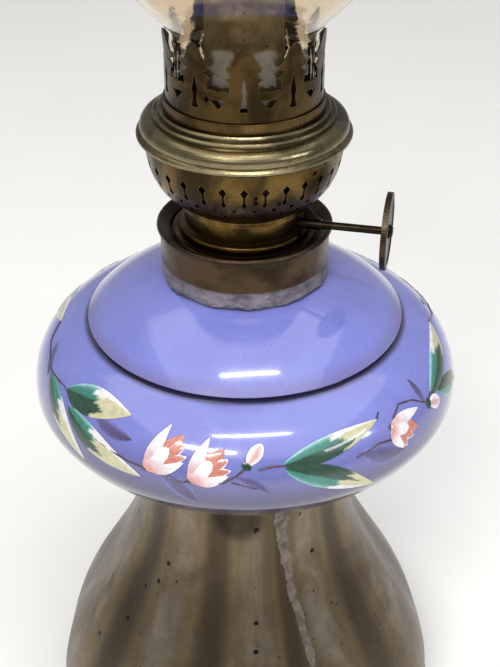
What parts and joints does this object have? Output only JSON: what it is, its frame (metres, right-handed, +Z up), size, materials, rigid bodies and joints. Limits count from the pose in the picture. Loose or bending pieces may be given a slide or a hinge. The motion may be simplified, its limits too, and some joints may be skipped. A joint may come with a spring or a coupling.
{
  "type": "oil lamp",
  "caption": "Table oil lamp with a raised sheet-metal foot, blue enamelled glass font, brass round-wick burner, milled wick knob and bulged glass chimney.",
  "frame": {"origin": "centre of the foot on the table", "axes": "+Z up along the lamp's axis, -Y the front, the wick knob towards +X"},
  "size_m": [0.166, 0.166, 0.5219],
  "materials": {
    "sheet_metal": "dull brown-grey, hand raised and pitted",
    "plain_steel": "plain, lightly tarnished",
    "cast_weight": "rough casting",
    "plaster": "grey, rough setting compound",
    "enamelled_glass": "glossy periwinkle-blue opal glass with an enamelled flower garland",
    "aged_brass": "aged, satin with dark tarnish in the grooves",
    "bright_brass": "aged, warm satin",
    "dark_brass": "dark brown patina",
    "tinned_tube": "dull grey, speckled",
    "wick_cotton": "woven cotton",
    "gasket_leather": "oiled",
    "chimney_glass": "clear blown glass, very faintly warm"
  },
  "bodies": {
    "lamp_body": {"foot_shell": "sheet_metal", "foot_rim": "sheet_metal", "bottom_plate": "plain_steel", "ballast": "cast_weight", "tie_rod": "plain_steel", "rod_washer": "plain_steel", "rod_nuts": "plain_steel", "font_socket": "sheet_metal", "socket_plaster": "plaster", "font_base": "enamelled_glass", "font": "enamelled_glass", "collar_seal": "plaster", "collar_plaster": "plaster", "collar": "aged_brass"},
    "burner_carriage": {"burner_gasket": "gasket_leather"},
    "burner": {"thread_ring": "aged_brass", "burner_neck": "aged_brass", "burner_floor": "aged_brass", "basket_ring": "bright_brass", "basket": "bright_brass", "vent_cover": "aged_brass", "knurled_ring": "aged_brass", "chimney_rest": "aged_brass", "gallery": "bright_brass", "wick_tube": "tinned_tube", "draft_tube": "tinned_tube", "draft_duct": "tinned_tube", "spindle_sleeve": "dark_brass", "spindle_gusset": "dark_brass", "spindle_bearing": "dark_brass"},
    "knob_assembly": {"spindle": "dark_brass", "star_wheels": "aged_brass", "knob": "dark_brass", "knob_cap": "aged_brass"},
    "wick_body": {"wick": "wick_cotton"},
    "chimney_body": {"chimney": "chimney_glass"}
  },
  "joints": [
    {"name": "burner_rise", "type": "slide", "parent": "lamp_body", "child": "burner_carriage", "axis": [0, 0, 1], "range_m": [0, 0.009]},
    {"name": "burner_unscrew", "type": "hinge", "parent": "burner_carriage", "child": "burner", "pos_m": [0, 0, 0.2317], "axis": [0, 0, 1], "range_deg": [0, 1080]},
    {"name": "knob_turn", "type": "hinge", "parent": "burner", "child": "knob_assembly", "pos_m": [-0.00108, -0.00509, 0.2376], "axis": [0.9781, -0.2079, 0], "range_deg": [-170, 54]},
    {"name": "wick_slide", "type": "slide", "parent": "burner", "child": "wick_body", "axis": [0, 0, 1], "range_m": [-0.0117, 0.0038]},
    {"name": "chimney_lift", "type": "slide", "parent": "burner", "child": "chimney_body", "axis": [0, 0, 1], "range_m": [0, 0.06]}
  ],
  "couplings": [
    {"joint": "burner_rise", "follows": "burner_unscrew", "m_per_rad": 0.00047746},
    {"joint": "wick_slide", "follows": "knob_turn", "m_per_rad": 0.0039}
  ]
}
